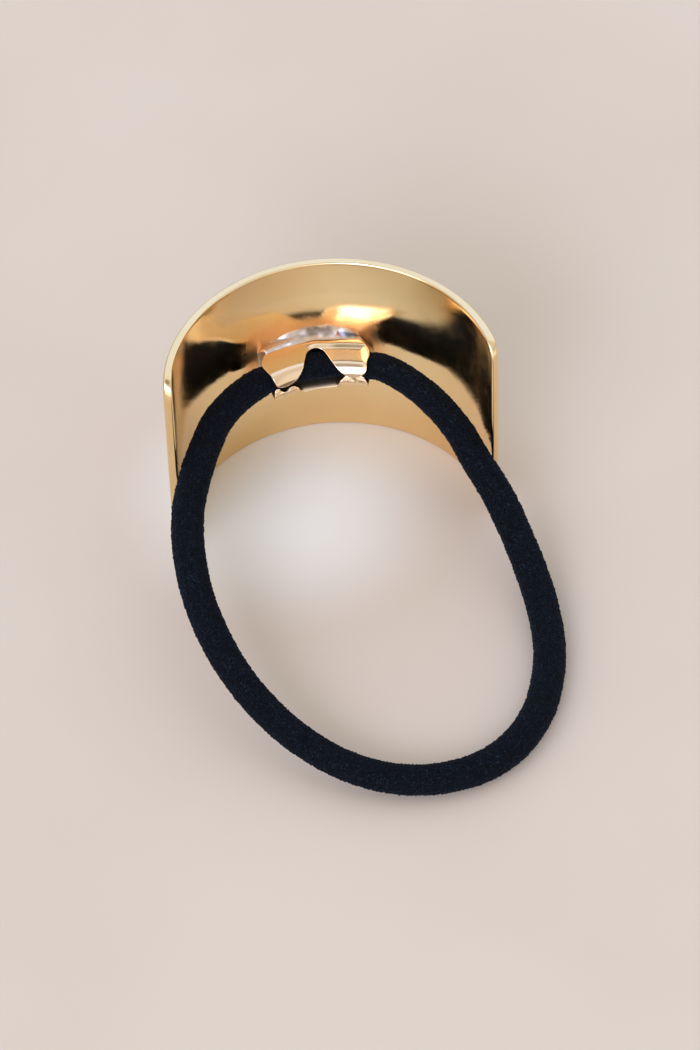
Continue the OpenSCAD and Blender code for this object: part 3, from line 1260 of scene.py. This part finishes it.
@dataclass
class Studio:
    """The camera, the pale floor and the soft light."""

    azimuth: float = -6.91
    elevation: float = 48.08
    roll: float = -1.85
    distance: float = 0.68121
    lens: float = 171.43
    offset_right: float = 1.55 * MM
    offset_up: float = 1.70 * MM
    floor_radius: float = 4.0
    floor_rings: int = 12
    floor_sides: int = 96
    floor_finish: PaleStone = field(default_factory=PaleStone)
    room_colour: Colour = (0.62, 0.64, 0.68)
    room_strength: float = 1.0

    # The room, each patch over the ones before it
    ROOM = (
        SkyPatch(0, 90, 20, 60, (0.97, 1.01, 1.10)),
        SkyPatch(0, 18, 40, 80, (1.38, 1.42, 1.58)),
        SkyPatch(34, 24, 12, 36, (0.96, 0.96, 1.03)),
        SkyPatch(58, 36, 10, 24, (0.70, 0.68, 0.72)),
        SkyPatch(34, 61, 10, 26, (0.80, 0.80, 0.86)),
        SkyPatch(116, 34, 12, 30, (1.3, 1.22, 1.15)),
        SkyPatch(162, 47, 22, 50, (0.94, 1.13, 1.62)),
        SkyPatch(-18, 57, 7, 18, (0.82, 0.90, 1.35)),
        SkyPatch(-33, 70, 6, 19, (0.38, 0.38, 0.38)),
        SkyPatch(-15, 26, 8, 17, (1.7, 1.9, 2.5)),
        SkyPatch(-50, 32, 8, 22, (3.2, 3.5, 4.8)),
        SkyPatch(-25, 30, 9, 15, (7.5, 8.8, 14.0)),
    )

    def camera(self, axis_y: float) -> bpy.types.Object:
        """Sets the camera at the photograph's angle.

        Args:
            axis_y: Where the plate's axis stands, in metres.

        Returns:
            The camera.
        """
        roll = math.radians(self.roll)
        back, right = towards(self.azimuth, self.elevation), towards(self.azimuth + 90, 0.0)
        up = back.cross(right)
        target = Vector((0.0, axis_y, 0.0)) + right * self.offset_right + up * self.offset_up
        turned_right = right * math.cos(roll) + up * math.sin(roll)
        turned_up = up * math.cos(roll) - right * math.sin(roll)
        data = bpy.data.cameras.new("camera")
        data.lens = self.lens
        data.sensor_width = 36.0
        data.clip_start, data.clip_end = 0.01, 20.0
        made = bpy.data.objects.new("camera", data)
        bpy.context.scene.collection.objects.link(made)
        turn = Matrix((turned_right, turned_up, back)).transposed().to_4x4()
        made.matrix_world = Matrix.Translation(target + back * self.distance) @ turn
        bpy.context.scene.camera = made
        return made

    def floor(self) -> bpy.types.Object:
        """Lays the floor, a wide disc.

        Returns:
            The floor.
        """
        rings, sides = self.floor_rings, self.floor_sides
        turn = 2 * np.pi * np.arange(sides) / sides
        circle = np.stack([np.cos(turn), np.sin(turn), np.zeros(sides)], axis=1) * self.floor_radius / MM
        points = [np.zeros((1, 3))] + [circle * (k / rings) ** 2 for k in range(1, rings + 1)]
        faces = [(0, 1 + k, 1 + (k + 1) % sides) for k in range(sides)]
        numbers = 1 + np.arange(rings * sides).reshape(rings, sides)
        faces += band_faces(numbers, closed=True, turned=True)
        made = new_mesh("floor", np.concatenate(points), faces)
        made.data.materials.append(self.floor_finish.material())
        made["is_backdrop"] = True
        return made

    def light(self) -> None:
        """Sets the soft light: a pale room round the scene, with a bright window to the left in front."""
        scene = bpy.context.scene
        scene.view_settings.view_transform = "Standard"
        scene.view_settings.look = "None"
        scene.world = bpy.data.worlds.new("room")
        g = Graph(scene.world, "Background", "OutputWorld")
        where = g.node("TexCoord").outputs["Generated"]
        shown = self.room_colour
        for patch in self.ROOM:
            middle = towards(patch.azimuth, patch.elevation)
            near = g.maths("DOT_PRODUCT", where, middle, kind="VectorMath")
            edges = (math.cos(math.radians(v)) for v in (patch.outer, patch.inner))
            shown = g.mix(g.span(near, *edges, 0.0, 1.0), shown, patch.colour)
        g.fill(g.shader, Color=shown, Strength=self.room_strength)


def main() -> None:
    """Builds every piece round the frame, in order."""
    logging.basicConfig(level=logging.INFO, format="%(name)s: %(message)s")
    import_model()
    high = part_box("cuff")[1] / MM
    plate = Plate(height=high.z, top_y=high.y)
    studio = Studio()
    studio.camera(plate.axis_y * MM)
    clamp = Clamp(plate)
    Elastic(clamp).build()
    made = plate.build()
    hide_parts("cuff")
    clamp.build()
    Solder(clamp).build()
    studio.floor()
    studio.light()
    low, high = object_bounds()


if __name__ == "__main__":
    main()
